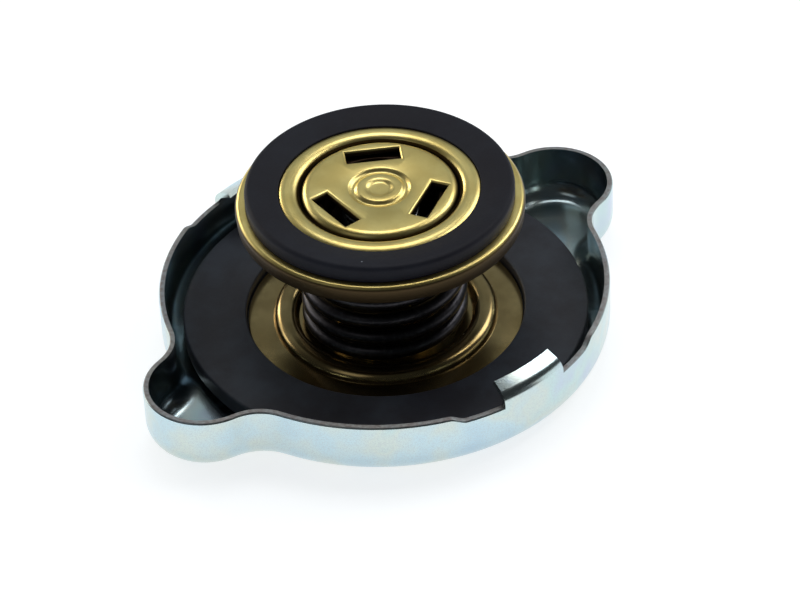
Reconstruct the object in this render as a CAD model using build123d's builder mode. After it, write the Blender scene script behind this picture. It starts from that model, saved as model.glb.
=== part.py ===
"""A bayonet pressure cap for a coolant filler neck, lying on its outer face with its valve upwards.

Lengths are in millimetres. The axis of the cap is Z, the outer face is at z = 0 and the ears lie along X.
The pieces come in the order in which they stack: the shell, what is riveted to it, the coil spring,
the pressure valve on the spring, and the small vacuum valve inside the pressure valve.
"""

import math
import os

from build123d import *

os.makedirs("parts", exist_ok=True)

# Shell, pressed from steel sheet
shell_radius = 23.4
shell_sheet = 0.6
skirt_height = 6.65
shoulder_radius = 2.8
rim_edge_radius = 0.25
ear_reach = 30.2
ear_radius = 6.3
ear_blend_radius = 4.5
dish_radius = 11.6
dish_depth = 0.9
dish_slope_width = 1.0

# Locking tabs, bent in from the skirt and climbing towards their tips
tab_width = 7.9
tab_rise = 0.3
tab_length = 2.15
tab_climb = 0.85
tab_bend_radius = 1.5
relief_depth = 0.7
relief_width = 17.8
relief_corner_radius = 0.3

# Rivet through the middle and its washer
rivet_radius = 2.4
rivet_head_radius = 4.4
rivet_head_height = 0.7
rivet_head_rim = 0.25
rivet_hole_clearance = 0.05
rivet_end_radius = 3.6
rivet_end_height = 1.0
washer_radius = 4.1
washer_thickness = 0.5
swivel_play = 0.05

# Spring disc behind the large gasket
disc_sheet = 0.25
disc_setback = 0.2
disc_step_height = 0.25
disc_step_width = 1.0
disc_step_clearance = 0.3

# Large gasket, trapped by its thin inner lip
gasket_edge_clearance = 1.7
gasket_hole_radius = 14.5
gasket_thickness = 1.8
gasket_lip_thickness = 0.4
gasket_lip_width = 1.3
gasket_edge_radius = 0.25

# Brass pressings: the bell that carries the spring, and the lipped cup inside it
brass_sheet = 0.4
bell_clearance = 0.15
bead_width = 2.45
bead_height = 1.0
bead_slope_width = 0.3
well_clearance = 0.45
bead_inner_bend_radius = 0.7
bead_outer_bend_radius = 0.65
cup_radius = 4.9
cup_lip_clearance = 0.4

# Coil spring, with closed ends ground flat
wire_diameter = 1.5
wire_flat_count = 8
spring_clearance = 0.45
spring_length = 14.4
active_turns = 4.7
end_turn_gap = 0.05
ground_share = 0.3

# Pressure valve: sleeve, dish, rubber ring and flanged retainer
valve_lift = 4.0
landing_gap = 0.8
stop_play = 0.05
sleeve_guide_clearance = 0.3
sleeve_flange_overhang = 0.35
sleeve_port_radius = 1.5
sleeve_port_count = 3
plate_sheet = 0.5
plate_radius = 14.86
plate_lip_depth = 1.9
plate_shoulder_radius = 0.55
seal_radius = 13.8
seal_thickness = 1.75
seal_face_width = 1.2
seal_face_drop = 0.5
seal_edge_radius = 0.25
retainer_radius = 10.25
retainer_wall_radius = 8.1
retainer_flange_drop = 0.15
retainer_bend_radius = 0.8
retainer_height = 0.95
piece_clearance = 0.1
seat_gap = 0.02
vacuum_tube_radius = 6.2
vacuum_seat_hole_radius = 4.0
vacuum_chamber_depth = 4.4

# Slotted cage that closes the vacuum valve's chamber
cage_sheet = 0.6
cage_corner_radius = 0.75
cage_press_clearance = 0.02
cage_inset = 0.05
cage_turn = 56.3
slot_count = 3
slot_centre_radius = 5.5
slot_length = 5.4
slot_width = 1.6
slot_bevel = 0.55
boss_groove_radius = 2.75
boss_groove_width = 0.9
boss_groove_depth = 0.35
boss_depth = 0.4
dimple_radius = 1.25
dimple_depth = 0.25

# Vacuum valve: disc, rubber washer and light spring
vacuum_disc_clearance = 0.5
vacuum_disc_sheet = 0.4
vacuum_hub_radius = 1.7
vacuum_seal_thickness = 0.6
seat_play = 0.05
light_wire_diameter = 0.4
light_wire_flat_count = 4
light_spring_radius = 4.0
light_spring_turns = 2.5
light_end_gap = 0.02

# Radii that follow from the sizes above, from the outside inwards and then from the vacuum tube outwards
gasket_radius = shell_radius - shell_sheet - gasket_edge_clearance
disc_radius = gasket_radius - disc_setback
bell_flange_radius = gasket_hole_radius - bell_clearance
rivet_hole_radius = rivet_radius + rivet_hole_clearance
vacuum_disc_radius = vacuum_tube_radius - brass_sheet - vacuum_disc_clearance
sleeve_radius = vacuum_tube_radius + piece_clearance + brass_sheet
sleeve_lip_hole_radius = cup_radius + sleeve_guide_clearance
cup_lip_radius = sleeve_radius - brass_sheet - cup_lip_clearance
spring_radius = sleeve_radius + spring_clearance + wire_diameter
sleeve_flange_radius = spring_radius + sleeve_flange_overhang
well_radius = spring_radius + well_clearance
bead_base_radius = well_radius + bead_width

# Heights that follow from the sizes above
shell_centre_top = dish_depth + shell_sheet
disc_bottom = shell_centre_top + swivel_play
disc_top = disc_bottom + disc_sheet
disc_rim_top = disc_top - disc_step_height
gasket_top = disc_rim_top + gasket_thickness
bell_floor_top = disc_top + brass_sheet
bell_flange_bottom = disc_rim_top + gasket_lip_thickness
sleeve_flange_bottom = bell_floor_top + spring_length
plate_bottom = sleeve_flange_bottom + brass_sheet
plate_top = plate_bottom + plate_sheet
seal_top = plate_top + seal_thickness
sleeve_bottom = bell_floor_top + landing_gap + valve_lift
cup_lip_bottom = sleeve_bottom + brass_sheet + stop_play
retainer_floor_top = plate_top + brass_sheet
retainer_flange_top = retainer_floor_top + retainer_height
vacuum_seat_top = retainer_floor_top - vacuum_chamber_depth
vacuum_seal_bottom = vacuum_seat_top + seat_play
vacuum_disc_bottom = vacuum_seal_bottom + vacuum_seal_thickness
vacuum_disc_top = vacuum_disc_bottom + vacuum_disc_sheet
cage_top = retainer_flange_top - cage_inset
cage_plate_bottom = cage_top - cage_sheet


def pressed_section(points, bend_radii, sheet):
    """Section of a pressed round piece, from the (radius, height) points of its sheet's mid-line."""
    with BuildSketch(Plane.XZ) as section:
        with BuildLine():
            FilletPolyline(*points, radius=bend_radii)
        trace(line_width=sheet)
    return section.sketch


def coil(radius, wire, flats, lowest, highest, turns, end_gap):
    """A compression spring with a closed turn at each end, whose wire's middle runs between two heights.

    The wire's section is a polygon as broad as the real round wire, which gives few facets.
    """
    closed_pitch = wire + end_gap
    open_start = lowest + closed_pitch
    open_end = highest - closed_pitch
    open_height = open_end - open_start
    with BuildPart() as spring:
        with BuildLine() as path:
            Helix(closed_pitch, closed_pitch, radius, center=(0, 0, lowest))
            Helix(open_height / turns, open_height, radius, center=(0, 0, open_start))
            last_start = (0, 0, open_end)
            last_turn = Helix(closed_pitch, closed_pitch, radius, center=last_start, mode=Mode.PRIVATE)
            add(last_turn.rotate(Axis.Z, turns * 360))
        with BuildSketch(path.line ^ 0):
            RegularPolygon(wire / 2, flats, major_radius=False, rotation=180 / flats)
        sweep(is_frenet=True)
    return spring.part


with BuildPart() as cap_shell:
    with BuildSketch() as shell_outline:
        Circle(shell_radius)
        with Locations((ear_reach - ear_radius, 0), (ear_radius - ear_reach, 0)):
            Circle(ear_radius)
        # The corners where the ears meet the round body lie far from the line through the ears
        root_corners = shell_outline.vertices().filter_by(lambda corner: abs(corner.Y) > ear_radius / 2)
        fillet(root_corners, ear_blend_radius)
    extrude(amount=skirt_height)
    fillet(cap_shell.edges().group_by(Axis.Z)[0], shoulder_radius)
    offset(amount=-shell_sheet, openings=cap_shell.faces().sort_by(Axis.Z)[-1])
    # The rim is cut lower on both sides of each tab, which lets the tab bend
    relief_bottom = skirt_height - relief_depth
    with BuildSketch(Plane.XZ.offset(-2 * shell_radius)):
        with Locations((0, skirt_height)):
            Rectangle(relief_width, 2 * relief_depth)
    extrude(amount=4 * shell_radius, mode=Mode.SUBTRACT)
    relief_ends = cap_shell.edges(Select.LAST).filter_by(GeomType.LINE).filter_by(Axis.Y)
    fillet(relief_ends, relief_corner_radius)
    fillet(cap_shell.faces().filter_by(Axis.Z).sort_by(Axis.Z)[-1].outer_wire().edges(), rim_edge_radius)
    # The middle is pressed in, so that the rivet's head stays clear of what the cap lies on
    with BuildSketch():
        Circle(dish_radius)
    extrude(amount=skirt_height, mode=Mode.SUBTRACT)
    dish_floor_middle = dish_depth + shell_sheet / 2
    dish_points = [
        (rivet_hole_radius, dish_floor_middle),
        (dish_radius - dish_slope_width, dish_floor_middle),
        (dish_radius, shell_sheet / 2),
        (dish_radius + dish_slope_width, shell_sheet / 2),
    ]
    revolve(pressed_section(dish_points, [0, 0], shell_sheet), axis=Axis.Z)
    # Each tab stands on the skirt's rim and is bent inwards
    tab_wall_middle = shell_radius - shell_sheet / 2
    tab_corner_height = skirt_height + tab_rise
    tab_points = [
        (tab_wall_middle, relief_bottom),
        (tab_wall_middle, tab_corner_height),
        (shell_radius - tab_length, tab_corner_height + tab_climb),
    ]
    tab_angle = math.degrees(2 * math.asin(tab_width / 2 / shell_radius))
    tab_section = pressed_section(tab_points, [tab_bend_radius - shell_sheet / 2], shell_sheet)
    for middle_angle in (90, -90):
        tab_start = Rotation(0, 0, middle_angle - tab_angle / 2)
        revolve((tab_start * tab_section).faces(), axis=Axis.Z, revolution_arc=tab_angle)

with BuildPart() as centre_rivet:
    head_bottom = dish_depth - swivel_play - rivet_head_height
    head_top = head_bottom + rivet_head_height
    end_bottom = bell_floor_top + brass_sheet + washer_thickness
    end_top = end_bottom + rivet_end_height
    with BuildSketch(Plane.XZ):
        with BuildLine():
            Line((0, end_top), (0, head_bottom))
            TangentArc((0, head_bottom), (rivet_head_radius, head_top - rivet_head_rim), tangent=(1, 0))
            Polyline(
                (rivet_head_radius, head_top - rivet_head_rim),
                (rivet_head_radius, head_top),
                (rivet_radius, head_top),
                (rivet_radius, end_bottom),
                (rivet_end_radius, end_bottom),
            )
            TangentArc((0, end_top), (rivet_end_radius, end_bottom), tangent=(1, 0))
        make_face()
    revolve(axis=Axis.Z)

with BuildPart() as rivet_washer:
    with BuildSketch(Plane.XY.offset(bell_floor_top + brass_sheet)):
        Circle(washer_radius)
        Circle(rivet_hole_radius, mode=Mode.SUBTRACT)
    extrude(amount=washer_thickness)

with BuildPart() as diaphragm_spring:
    disc_step_radius = dish_radius + disc_step_clearance
    disc_points = [
        (rivet_hole_radius, disc_top - disc_sheet / 2),
        (disc_step_radius, disc_top - disc_sheet / 2),
        (disc_step_radius + disc_step_width, disc_rim_top - disc_sheet / 2),
        (disc_radius, disc_rim_top - disc_sheet / 2),
    ]
    revolve(pressed_section(disc_points, [0, 0], disc_sheet), axis=Axis.Z)

with BuildPart() as main_gasket:
    lip_hole_radius = gasket_hole_radius - gasket_lip_width
    with BuildSketch(Plane.XZ) as gasket_section:
        with BuildLine():
            Polyline(
                (lip_hole_radius, disc_rim_top),
                (gasket_radius, disc_rim_top),
                (gasket_radius, gasket_top),
                (gasket_hole_radius, gasket_top),
                (gasket_hole_radius, bell_flange_bottom),
                (lip_hole_radius, bell_flange_bottom),
                close=True,
            )
        make_face()
        top_corners = gasket_section.vertices().group_by(Axis.Y)[-1]
        fillet(top_corners, gasket_edge_radius)
    revolve(axis=Axis.Z)

with BuildPart() as spring_bell:
    bell_floor_middle = bell_floor_top - brass_sheet / 2
    bell_flange_middle = bell_flange_bottom + brass_sheet / 2
    bead_middle = bell_flange_middle + bead_height
    well_wall_radius = well_radius + brass_sheet / 2
    bell_points = [
        (rivet_hole_radius, bell_floor_middle),
        (well_wall_radius, bell_floor_middle),
        (well_wall_radius, bead_middle),
        (bead_base_radius - bead_slope_width, bead_middle),
        (bead_base_radius, bell_flange_middle),
        (bell_flange_radius, bell_flange_middle),
    ]
    bell_bends = [0, bead_inner_bend_radius, bead_outer_bend_radius, 0]
    revolve(pressed_section(bell_points, bell_bends, brass_sheet), axis=Axis.Z)

with BuildPart() as guide_cup:
    cup_floor_middle = bell_floor_top + brass_sheet / 2
    cup_wall_middle = cup_radius - brass_sheet / 2
    cup_points = [
        (rivet_hole_radius, cup_floor_middle),
        (cup_wall_middle, cup_floor_middle),
        (cup_wall_middle, cup_lip_bottom + brass_sheet / 2),
        (cup_lip_radius, cup_lip_bottom + brass_sheet / 2),
    ]
    revolve(pressed_section(cup_points, [0, 0], brass_sheet), axis=Axis.Z)

with BuildPart() as pressure_spring:
    wire_inset = (0.5 - ground_share) * wire_diameter
    lowest_middle = bell_floor_top + wire_inset
    highest_middle = sleeve_flange_bottom - wire_inset
    wire_size = (spring_radius - wire_diameter / 2, wire_diameter, wire_flat_count)
    add(coil(*wire_size, lowest_middle, highest_middle, active_turns, end_turn_gap))
    # Both ends are ground flat
    with BuildSketch(Plane.XY.offset(bell_floor_top)):
        Circle(spring_radius + wire_diameter)
    extrude(amount=spring_length, mode=Mode.INTERSECT)

with BuildPart() as stop_sleeve:
    sleeve_wall_middle = sleeve_radius - brass_sheet / 2
    sleeve_points = [
        (sleeve_lip_hole_radius, sleeve_bottom + brass_sheet / 2),
        (sleeve_wall_middle, sleeve_bottom + brass_sheet / 2),
        (sleeve_wall_middle, plate_bottom - brass_sheet / 2),
        (sleeve_flange_radius, plate_bottom - brass_sheet / 2),
    ]
    revolve(pressed_section(sleeve_points, [0, 0], brass_sheet), axis=Axis.Z)
    # Ports let the returning coolant into the vacuum valve's chamber
    port_height = (cup_lip_bottom + vacuum_seat_top) / 2
    for port in range(sleeve_port_count):
        port_plane = Plane(
            origin=(0, 0, port_height),
            x_dir=(0, 0, 1),
            z_dir=Vector(1, 0, 0).rotate(Axis.Z, port * 360 / sleeve_port_count),
        )
        with BuildSketch(port_plane):
            Circle(sleeve_port_radius)
        extrude(amount=sleeve_flange_radius, mode=Mode.SUBTRACT)

with BuildPart() as valve_plate:
    plate_middle = plate_top - plate_sheet / 2
    plate_points = [
        (vacuum_tube_radius + piece_clearance, plate_middle),
        (plate_radius - plate_sheet / 2, plate_middle),
        (plate_radius - plate_sheet / 2, plate_top - plate_lip_depth),
    ]
    revolve(pressed_section(plate_points, [plate_shoulder_radius], plate_sheet), axis=Axis.Z)

with BuildPart() as pressure_seal:
    seal_hole_radius = retainer_wall_radius + brass_sheet + retainer_bend_radius
    flange_bottom = retainer_flange_top - brass_sheet
    with BuildSketch(Plane.XZ) as seal_section:
        with BuildLine():
            Polyline(
                (seal_hole_radius, plate_top),
                (seal_radius, plate_top),
                (seal_radius, seal_top),
                (seal_radius - seal_face_width, seal_top),
                (retainer_radius + piece_clearance, seal_top - seal_face_drop),
                (retainer_radius + piece_clearance, flange_bottom - retainer_flange_drop - seat_gap),
                (seal_hole_radius, flange_bottom - retainer_flange_drop / 2 - seat_gap),
                close=True,
            )
        make_face()
        outer_corner = seal_section.vertices().group_by(Axis.Y)[-1].sort_by(Axis.X)[-1]
        fillet(outer_corner, seal_edge_radius)
    revolve(axis=Axis.Z)

with BuildPart() as seal_retainer:
    retainer_wall_middle = retainer_wall_radius + brass_sheet / 2
    tube_middle = vacuum_tube_radius - brass_sheet / 2
    retainer_points = [
        (vacuum_seat_hole_radius, vacuum_seat_top - brass_sheet / 2),
        (tube_middle, vacuum_seat_top - brass_sheet / 2),
        (tube_middle, plate_top + brass_sheet / 2),
        (retainer_wall_middle, plate_top + brass_sheet / 2),
        (retainer_wall_middle, retainer_flange_top - brass_sheet / 2),
        (retainer_radius, retainer_flange_top - retainer_flange_drop - brass_sheet / 2),
    ]
    retainer_bends = [0, 0, 0, retainer_bend_radius - brass_sheet / 2]
    revolve(pressed_section(retainer_points, retainer_bends, brass_sheet), axis=Axis.Z)

with BuildPart() as vacuum_cage:
    cage_radius = retainer_wall_radius - cage_press_clearance
    with BuildSketch(Plane.XY.offset(retainer_floor_top)):
        Circle(cage_radius)
    extrude(amount=cage_top - retainer_floor_top)
    fillet(vacuum_cage.edges().group_by(Axis.Z)[-1], cage_corner_radius)
    with BuildSketch(Plane.XY.offset(retainer_floor_top)):
        Circle(cage_radius - cage_sheet)
    extrude(amount=cage_plate_bottom - retainer_floor_top, mode=Mode.SUBTRACT)
    # The boss is pressed down, which centres the light spring below
    with BuildSketch(Plane.XY.offset(cage_plate_bottom)):
        Circle(boss_groove_radius + boss_groove_width / 2)
    extrude(amount=-boss_depth)
    with BuildSketch(Plane.XZ):
        with Locations((boss_groove_radius, cage_top)):
            Ellipse(boss_groove_width / 2, boss_groove_depth)
    revolve(axis=Axis.Z, mode=Mode.SUBTRACT)
    with BuildSketch(Plane.XZ) as dimple_section:
        with Locations((0, cage_top)):
            Ellipse(dimple_radius, dimple_depth)
            Rectangle(dimple_radius, 2 * dimple_depth, align=(Align.MAX, Align.CENTER), mode=Mode.SUBTRACT)
    revolve(axis=Axis.Z, mode=Mode.SUBTRACT)
    slot_planes = [
        Plane(origin=(0, 0, cage_top)).rotated((0, 0, cage_turn + slot * 360 / slot_count))
        for slot in range(slot_count)
    ]
    for slot_plane in slot_planes:
        with BuildSketch(slot_plane):
            with Locations((slot_centre_radius, 0)):
                Rectangle(slot_width, slot_length)
        extrude(amount=-2 * cage_sheet, mode=Mode.SUBTRACT)
        with BuildSketch(slot_plane):
            with Locations((slot_centre_radius, 0)):
                Rectangle(slot_width + 2 * slot_bevel, slot_length + 2 * slot_bevel)
        extrude(amount=-slot_bevel, taper=45, mode=Mode.SUBTRACT)

with BuildPart() as vacuum_valve:
    disc_middle = vacuum_disc_bottom + vacuum_disc_sheet / 2
    hub_middle = vacuum_seal_bottom + vacuum_disc_sheet / 2
    vacuum_points = [
        (0, hub_middle),
        (vacuum_hub_radius - vacuum_disc_sheet / 2, hub_middle),
        (vacuum_hub_radius - vacuum_disc_sheet / 2, disc_middle),
        (vacuum_disc_radius, disc_middle),
    ]
    revolve(pressed_section(vacuum_points, [0, 0], vacuum_disc_sheet), axis=Axis.Z)

with BuildPart() as vacuum_seal:
    with BuildSketch(Plane.XY.offset(vacuum_seal_bottom)):
        Circle(vacuum_disc_radius)
        Circle(vacuum_hub_radius + piece_clearance, mode=Mode.SUBTRACT)
    extrude(amount=vacuum_seal_thickness)

with BuildPart() as vacuum_spring:
    light_lowest = vacuum_disc_top + light_wire_diameter / 2
    light_highest = cage_plate_bottom - light_wire_diameter / 2
    light_size = (light_spring_radius - light_wire_diameter / 2, light_wire_diameter, light_wire_flat_count)
    add(coil(*light_size, light_lowest, light_highest, light_spring_turns, light_end_gap))

pieces = {
    "cap_shell": cap_shell,
    "centre_rivet": centre_rivet,
    "rivet_washer": rivet_washer,
    "diaphragm_spring": diaphragm_spring,
    "main_gasket": main_gasket,
    "spring_bell": spring_bell,
    "guide_cup": guide_cup,
    "pressure_spring": pressure_spring,
    "stop_sleeve": stop_sleeve,
    "valve_plate": valve_plate,
    "pressure_seal": pressure_seal,
    "seal_retainer": seal_retainer,
    "vacuum_cage": vacuum_cage,
    "vacuum_valve": vacuum_valve,
    "vacuum_seal": vacuum_seal,
    "vacuum_spring": vacuum_spring,
}
for name, piece in pieces.items():
    piece.part.label = name
    export_step(piece.part, f"parts/{name}.step")
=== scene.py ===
# %% [markdown]
# A bayonet pressure cap from a coolant filler neck. It is lying on its outer face, so that its spring and
# valve stand upwards. The real cap is sheet metal and rubber: a zinc-plated steel shell, brass pressings,
# two rubber rings and a coil spring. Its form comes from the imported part. This file gives it its looks.

# %% Load the part
import math

import bmesh
import bpy
from mathutils import Matrix, Vector


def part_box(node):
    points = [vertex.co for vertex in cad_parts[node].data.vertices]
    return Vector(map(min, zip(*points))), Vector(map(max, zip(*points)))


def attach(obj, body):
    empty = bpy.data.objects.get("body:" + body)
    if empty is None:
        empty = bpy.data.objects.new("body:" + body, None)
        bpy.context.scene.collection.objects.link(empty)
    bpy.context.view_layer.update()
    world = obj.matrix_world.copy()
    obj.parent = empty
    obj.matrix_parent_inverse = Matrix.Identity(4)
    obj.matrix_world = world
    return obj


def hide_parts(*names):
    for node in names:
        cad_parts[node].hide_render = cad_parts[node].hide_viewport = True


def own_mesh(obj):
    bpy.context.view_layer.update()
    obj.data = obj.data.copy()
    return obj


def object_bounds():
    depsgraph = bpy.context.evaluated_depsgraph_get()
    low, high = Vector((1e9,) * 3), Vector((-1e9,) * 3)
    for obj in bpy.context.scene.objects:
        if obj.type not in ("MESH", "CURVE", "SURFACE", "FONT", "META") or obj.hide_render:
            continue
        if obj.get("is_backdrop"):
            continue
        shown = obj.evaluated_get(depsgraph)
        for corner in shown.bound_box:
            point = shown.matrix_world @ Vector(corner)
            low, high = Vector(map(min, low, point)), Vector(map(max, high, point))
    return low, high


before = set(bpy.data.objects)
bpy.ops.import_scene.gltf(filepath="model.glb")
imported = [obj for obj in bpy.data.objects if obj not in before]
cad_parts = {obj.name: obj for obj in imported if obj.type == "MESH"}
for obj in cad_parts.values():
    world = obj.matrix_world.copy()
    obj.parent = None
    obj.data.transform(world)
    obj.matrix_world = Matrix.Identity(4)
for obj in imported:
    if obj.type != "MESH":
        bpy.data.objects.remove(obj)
cad_low, cad_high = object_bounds()
MM = 0.001
print("pieces in the part:", len(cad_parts))

# %% [markdown]
# Every size below is in millimetres, as on a drawing, and becomes metres when a mesh is made. Where the
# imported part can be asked, it is: a turned piece's outer radius and its top and bottom come from its box.


# %% Ask the part for its sizes
def outer_radius(node):
    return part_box(node)[1].y / MM


def top_of(node):
    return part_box(node)[1].z / MM


def bottom_of(node):
    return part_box(node)[0].z / MM


BRASS_SHEET = 0.4
ROUND_STEPS = 240
print("seal radius", round(outer_radius("pressure_seal"), 2), "mm, top at", round(top_of("pressure_seal"), 2))

# %% [markdown]
# Materials are sums and products of noise, height and slope. Written as nodes by hand that is long, so one
# small class wraps a socket. Adding or multiplying two of them adds a Math node, and the formula reads like
# a formula. Colours don't go through Math nodes, because those turn a colour grey: they go through a Mix
# node. A second class adds nodes to a tree, and a third one holds what a material needs besides.


# %% A socket that can be calculated with
class Value:
    """One socket of a node tree. Arithmetic on it adds Math nodes to that tree."""

    def __init__(self, recipe, socket):
        self.recipe = recipe
        self.socket = socket

    def math(self, operation, *others):
        return self.recipe.node("ShaderNodeMath", {"operation": operation}, [self, *others])

    def __add__(self, other):
        return self.math("ADD", other)

    def __sub__(self, other):
        return self.math("SUBTRACT", other)

    def __mul__(self, other):
        return self.math("MULTIPLY", other)

    def __truediv__(self, other):
        return self.math("DIVIDE", other)

    def __rsub__(self, other):
        return self.recipe.node("ShaderNodeMath", {"operation": "SUBTRACT"}, [other, self])

    __radd__ = __add__
    __rmul__ = __mul__

    def above(self, edge, softness):
        """0 below an edge and 1 above it, with a soft step between."""
        settings = {"interpolation_type": "SMOOTHSTEP"}
        inputs = [self, edge - softness / 2, edge + softness / 2]
        return self.recipe.node("ShaderNodeMapRange", settings, inputs)


class Recipe:
    """Adds nodes to one tree, by their type, settings and inputs."""

    def __init__(self, tree):
        self.tree = tree

    def node(self, kind, settings=None, inputs=(), output=0):
        made = self.tree.nodes.new(kind)
        for name, setting in (settings or {}).items():
            setattr(made, name, setting)
        pairs = inputs.items() if isinstance(inputs, dict) else enumerate(inputs)
        for key, value in pairs:
            if isinstance(value, Value):
                self.tree.links.new(value.socket, made.inputs[key])
            else:
                made.inputs[key].default_value = value
        return Value(self, made.outputs[output])

    def ramp(self, factor, stops):
        """A colour for each place between 0 and 1, from (place, colour) stops."""
        value = self.node("ShaderNodeValToRGB", inputs=[factor])
        elements = value.socket.node.color_ramp.elements
        for place, colour in stops[1:-1]:
            elements.new(place).color = (*colour, 1)
        elements[0].position, elements[-1].position = stops[0][0], stops[-1][0]
        elements[0].color, elements[-1].color = (*stops[0][1], 1), (*stops[-1][1], 1)
        return value

    def mix(self, factor, first, second):
        """From the first colour, at factor 0, to the second, at 1."""
        # The node has sockets for every kind of data. Its colours are inputs 6 and 7 and output 2.
        settings = {"data_type": "RGBA"}
        colours = [c if isinstance(c, Value) else (*c, 1) for c in (first, second)]
        return self.node("ShaderNodeMix", settings, {0: factor, 6: colours[0], 7: colours[1]}, output=2)

    def axes(self, vector):
        """The three parts of a vector."""
        split = self.node("ShaderNodeSeparateXYZ", inputs=[vector]).socket.node
        return [Value(self, socket) for socket in split.outputs]

    def rays(self, *kinds):
        """For each kind of ray a value that is 1 when such a ray looks, and else 0."""
        path = self.node("ShaderNodeLightPath").socket.node
        return [Value(self, path.outputs[f"Is {kind} Ray"]) for kind in kinds]


class Finish(Recipe):
    """A material with one Principled shader. Its patterns read the piece's own coordinates, in metres."""

    def __init__(self, name, **fixed):
        self.material = bpy.data.materials.new(name)
        self.material.use_nodes = True
        super().__init__(self.material.node_tree)
        self.shader = self.tree.nodes["Principled BSDF"]
        for socket, value in fixed.items():
            self.shader.inputs[socket.replace("_", " ")].default_value = value
        self.place = self.node("ShaderNodeTexCoord", output="Object")

    def noise(self, size_mm, detail=2.0, roughness=0.5):
        """Noise between 0 and 1 whose blots are about that many millimetres across."""
        scale = 1 / (size_mm * MM)
        inputs = {"Vector": self.place, "Scale": scale, "Detail": detail, "Roughness": roughness}
        return self.node("ShaderNodeTexNoise", inputs=inputs)

    def specks(self, spacing_mm, size_mm):
        """1 in small round specks that lie about a spacing apart."""
        inputs = {"Vector": self.place, "Scale": 1 / (spacing_mm * MM)}
        distance = self.node("ShaderNodeTexVoronoi", inputs=inputs)
        edge = size_mm / spacing_mm / 2
        return 1 - distance.above(edge, edge)

    def height(self):
        """The height above the floor at rest, in metres."""
        return self.axes(self.place)[2]

    def slope(self):
        """1 where the surface faces up, 0 on a wall and -1 where it faces down."""
        return self.axes(self.node("ShaderNodeNewGeometry", output="Normal"))[2]

    def set(self, socket, value):
        self.tree.links.new(value.socket, self.shader.inputs[socket])

    def bump(self, height, depth_mm):
        """Raises the surface by up to a depth where the height is 1."""
        inputs = {"Strength": 1.0, "Distance": depth_mm * MM, "Height": height}
        self.set("Normal", self.node("ShaderNodeBump", inputs=inputs))


print("recipes ready")

# %% [markdown]
# Zinc plating is a bright, slightly blue metal with a thin passivation film. The film gives faint patches of
# blue, green and violet, and the deposit itself is a fine grain. The top of the rim is a sheared edge, where
# the plating is thin and torn, so a mask on height and slope makes it darker and rougher there.

# %% Zinc plating
SKIRT_HEIGHT = 6.65
RIM_BAND = (SKIRT_HEIGHT - 0.9, SKIRT_HEIGHT + 0.2)
BAND_EDGE = 0.1
FILM = [
    (0.30, (0.49, 0.65, 0.75)),
    (0.44, (0.56, 0.71, 0.76)),
    (0.52, (0.63, 0.71, 0.67)),
    (0.60, (0.56, 0.71, 0.71)),
    (0.70, (0.55, 0.64, 0.75)),
]
ZINC_GRAIN = (0.48, 0.54, 0.58)
SHEARED_EDGE = (0.24, 0.21, 0.205)


def zinc_plating():
    finish = Finish("zinc_plating", Metallic=1.0)
    patches = finish.noise(9, detail=3)
    grain = finish.noise(0.16, detail=2)
    torn = finish.noise(0.45, detail=3)
    film = finish.mix(grain.above(0.56, 0.30) * 0.35, finish.ramp(patches, FILM), ZINC_GRAIN)
    height = finish.height()
    band_low, band_high = (height.above(edge * MM, BAND_EDGE * MM) for edge in RIM_BAND)
    sheared = band_low * (1 - band_high) * finish.slope().above(0.75, 0.3)
    finish.set("Base Color", finish.mix(sheared * (1.25 - torn * 0.9), film, SHEARED_EDGE))
    finish.set("Roughness", 0.14 + grain * 0.08 + patches * 0.05 + sheared * 0.35)
    finish.bump(grain * 0.5 + sheared * torn, 0.004)
    return finish.material


zinc = zinc_plating()
print(zinc.name)

# %% [markdown]
# The pressings are brass sheet, satin from rolling and pressing. Brass has no clean single colour: it goes
# from pale lemon to olive where it has started to tarnish, with a few dark spots, and it carries a fine
# grain. On the valve a mask on slope paints brown shade on all that doesn't face up, on the walls and bends
# where the real brass mirrors dark surroundings. Deep inside, below a height, the painted shade is nearly
# black. The bell's brass is darker, and only its underside gets painted shade.

# %% Pressed brass
# Colours of painted shade: brown on walls, bends and undersides, nearly black deep in the hollow.
SHADE_COLOUR = (0.06, 0.039, 0.017)
DEEP_SHADE_COLOUR = (0.02, 0.012, 0.008)
DARK_SPOT = (0.16, 0.10, 0.05)


def pressed_brass(name, bright, dull, tarnish, satin, texture_mm, shade_slope, shaded_below=None):
    finish = Finish(name)
    cloud = finish.noise(3.5, detail=4)
    grain = finish.noise(0.22, detail=3)
    spots = finish.specks(2.6, 0.22) * finish.noise(6).above(0.55, 0.1)
    # Painted shade: all that faces less upwards than a slope is darkened, standing in for dark reflections
    # and shade.
    painted_shade = 1 - finish.slope().above(shade_slope, 0.4)
    sheet = finish.mix(cloud.above(0.5, 0.35) * tarnish, bright, dull)
    sheet = finish.mix(painted_shade, sheet, SHADE_COLOUR)
    # Painted shade in the hollow: below a height the brass is turned nearly black.
    if shaded_below:
        deep_shade = 1 - finish.height().above(shaded_below * MM, 0.4 * MM)
        sheet = finish.mix(deep_shade, sheet, DEEP_SHADE_COLOUR)
    finish.set("Base Color", finish.mix(spots * 0.7, sheet, DARK_SPOT))
    finish.set("Metallic", 1 - painted_shade * 0.1)
    finish.set("Roughness", satin + grain * 0.08 + cloud * 0.06 + spots * 0.2 + painted_shade * 0.12)
    finish.bump(grain + cloud * 0.5, texture_mm)
    return finish.material


# Below this height the deep painted shade starts.
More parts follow.
